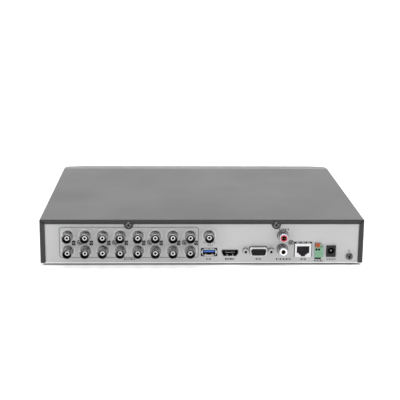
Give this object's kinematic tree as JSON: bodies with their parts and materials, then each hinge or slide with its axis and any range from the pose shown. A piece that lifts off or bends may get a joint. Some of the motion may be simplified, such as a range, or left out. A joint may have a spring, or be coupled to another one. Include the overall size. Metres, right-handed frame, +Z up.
{
  "type": "digital video recorder",
  "caption": "Low desktop video recorder for security cameras: folded steel case, rear row of bayonet video jacks and data sockets, hard drive, cooling fan and main board inside.",
  "frame": {"origin": "bottom centre of the overall box, on the plane the four feet stand on", "axes": "+Z up, +Y out of the connector panel at the rear, front bezel towards -Y, width along X"},
  "size_m": [0.3182, 0.254, 0.0459],
  "materials": {
    "case_paint": "fine textured matt",
    "panel_sheet": "satin light grey coat",
    "bezel_plastic": "satin",
    "window_plastic": "gloss",
    "clear_plastic": "gloss",
    "circuit_board": "solder mask",
    "black_plastic": "matt",
    "white_plastic": "satin",
    "nickel": "polished",
    "gold_contact": "polished",
    "blue_plastic": "satin",
    "green_plastic": "satin",
    "orange_plastic": "satin",
    "jack_inserts": "gloss",
    "dark_screw": "black zinc",
    "bright_screw": "zinc",
    "rubber": "matt",
    "aluminium": "satin",
    "chip_resin": "matt",
    "can_sleeve": "satin",
    "steel": "satin",
    "lead_sleeve": "satin",
    "chrome_disc": "mirror polished",
    "lead_grey": "satin"
  },
  "bodies": {
    "case": {"top_cover": "case_paint", "chassis_tray": "panel_sheet", "front_bezel": "bezel_plastic", "front_window": "window_plastic", "front_board": "circuit_board", "front_light_pipes": "clear_plastic", "front_ir_receiver": "black_plastic", "front_usb_shell": "nickel", "front_usb_tongue": "black_plastic", "bnc_jacks": "nickel", "bnc_insulators": "white_plastic", "bnc_contacts": "gold_contact", "bnc_blocks": "black_plastic", "connector_screws": "bright_screw", "rca_holder": "black_plastic", "rca_shells": "nickel", "rca_insulators": "jack_inserts", "rca_contacts": "nickel", "usb_shell": "nickel", "usb_tongue": "blue_plastic", "hdmi_shell": "nickel", "hdmi_tongue": "black_plastic", "vga_shell": "nickel", "vga_insert": "black_plastic", "vga_jack_screws": "nickel", "lan_shield": "nickel", "lan_housing": "black_plastic", "lan_contacts": "gold_contact", "terminal_body": "green_plastic", "terminal_clamps": "steel", "dc_socket_body": "black_plastic", "dc_socket_pin": "nickel", "ground_screw": "dark_screw", "cover_rear_screws": "dark_screw", "cover_side_screws": "dark_screw", "rubber_feet": "rubber", "main_board": "circuit_board", "board_screws": "bright_screw", "processor": "chip_resin", "heat_sink": "aluminium", "board_chips": "chip_resin", "capacitors": "can_sleeve", "coin_cell": "steel", "board_headers": "white_plastic", "hard_drive_base": "aluminium", "hard_drive_lid": "steel", "hard_drive_board": "circuit_board", "hard_drive_screws": "bright_screw", "fan_frame": "black_plastic", "fan_screws": "bright_screw", "sata_data_lead": "lead_sleeve", "sata_power_lead": "black_plastic", "front_panel_lead": "lead_grey", "fan_lead": "black_plastic"},
    "release_button_a": {"terminal_button_a": "orange_plastic"},
    "release_button_b": {"terminal_button_b": "orange_plastic"},
    "fan_wheel": {"fan_rotor": "black_plastic"},
    "disc_pack": {"hard_drive_spindle": "aluminium", "hard_drive_platters": "chrome_disc"},
    "head_arm": {"hard_drive_actuator": "aluminium"}
  },
  "joints": [
    {"name": "release_button_a_press", "type": "slide", "parent": "case", "child": "release_button_a", "axis": [0, -1, 0], "range_m": [0, 0.0015], "stiffness_N_per_m": 1500, "springref_m": -0.0005},
    {"name": "release_button_b_press", "type": "slide", "parent": "case", "child": "release_button_b", "axis": [0, -1, 0], "range_m": [0, 0.0015], "stiffness_N_per_m": 1500, "springref_m": -0.0005},
    {"name": "fan_spin", "type": "hinge", "parent": "case", "child": "fan_wheel", "pos_m": [0.1506, -0.055, 0.0239], "axis": [1, 0, 0], "continuous": true},
    {"name": "disc_spin", "type": "hinge", "parent": "case", "child": "disc_pack", "pos_m": [-0.094, -0.0562, 0.0179], "axis": [0, 0, 1], "continuous": true},
    {"name": "head_arm_swing", "type": "hinge", "parent": "case", "child": "head_arm", "pos_m": [-0.034, -0.031, 0.0179], "axis": [0, 0, 1], "range_deg": [-38, 0]}
  ]
}
